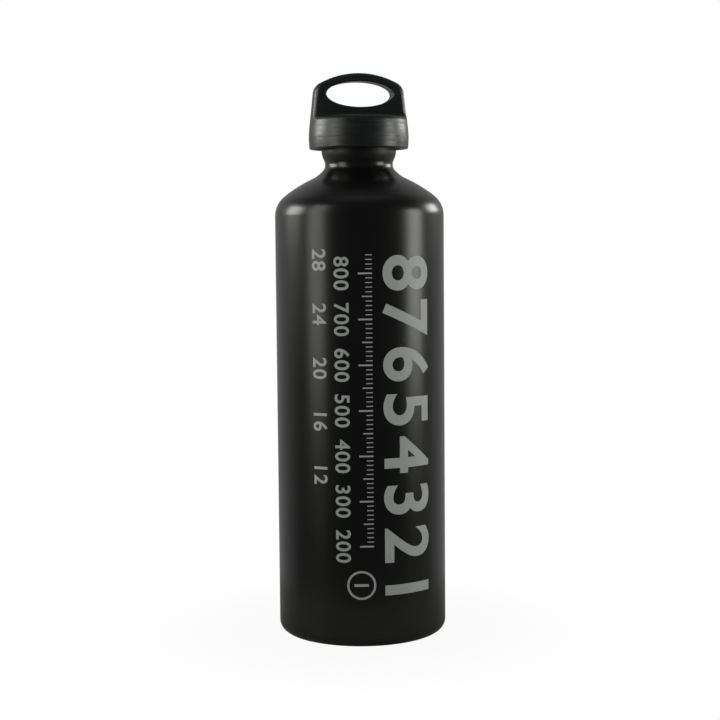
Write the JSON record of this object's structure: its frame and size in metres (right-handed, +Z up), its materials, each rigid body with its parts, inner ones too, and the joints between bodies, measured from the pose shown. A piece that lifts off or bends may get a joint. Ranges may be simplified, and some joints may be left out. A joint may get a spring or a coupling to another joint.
{
  "type": "camping fuel bottle",
  "caption": "Slim aluminium fuel bottle for a camping stove, with a sloped shoulder, a narrow neck and a push-and-turn cap with a carrying loop.",
  "frame": {"origin": "centre of the base, on the plane that the bottle stands on", "axes": "+Z up along the bottle's axis, X along the carrying loop, Y through the loop's eye with the front at -Y"},
  "size_m": [0.08, 0.08, 0.2652],
  "materials": {
    "coated_aluminium": "satin black coat on drawn aluminium",
    "seal_rubber": "moulded fuel-proof rubber",
    "stopper_plastic": "moulded black plastic",
    "spring_steel": "stainless spring steel",
    "cap_plastic": "moulded black plastic"
  },
  "bodies": {
    "bottle": {"bottle_shell": "coated_aluminium"},
    "seal": {"seal_ring": "seal_rubber"},
    "stopper": {"stopper": "stopper_plastic"},
    "spring": {"wave_spring": "spring_steel"},
    "cap": {"loop_cap": "cap_plastic", "retaining_ring": "spring_steel"}
  },
  "joints": [
    {"name": "cap_rise", "type": "slide", "parent": "bottle", "child": "seal", "axis": [0, 0, 1], "range_m": [0, 0.012]},
    {"name": "cap_unscrew", "type": "hinge", "parent": "seal", "child": "stopper", "pos_m": [0, 0, 0.2357], "axis": [0, 0, 1], "range_deg": [0, 1080]},
    {"name": "cap_freewheel", "type": "hinge", "parent": "stopper", "child": "spring", "pos_m": [0, 0, 0.2379], "axis": [0, 0, 1], "continuous": true},
    {"name": "cap_press", "type": "slide", "parent": "spring", "child": "cap", "axis": [0, 0, -1], "range_m": [0, 0.002], "stiffness_N_per_m": 1500, "springref_m": -0.003, "deforming": ["wave_spring"]}
  ],
  "couplings": [
    {"joint": "cap_unscrew", "follows": "cap_rise", "rad_per_m": 1570.8}
  ]
}
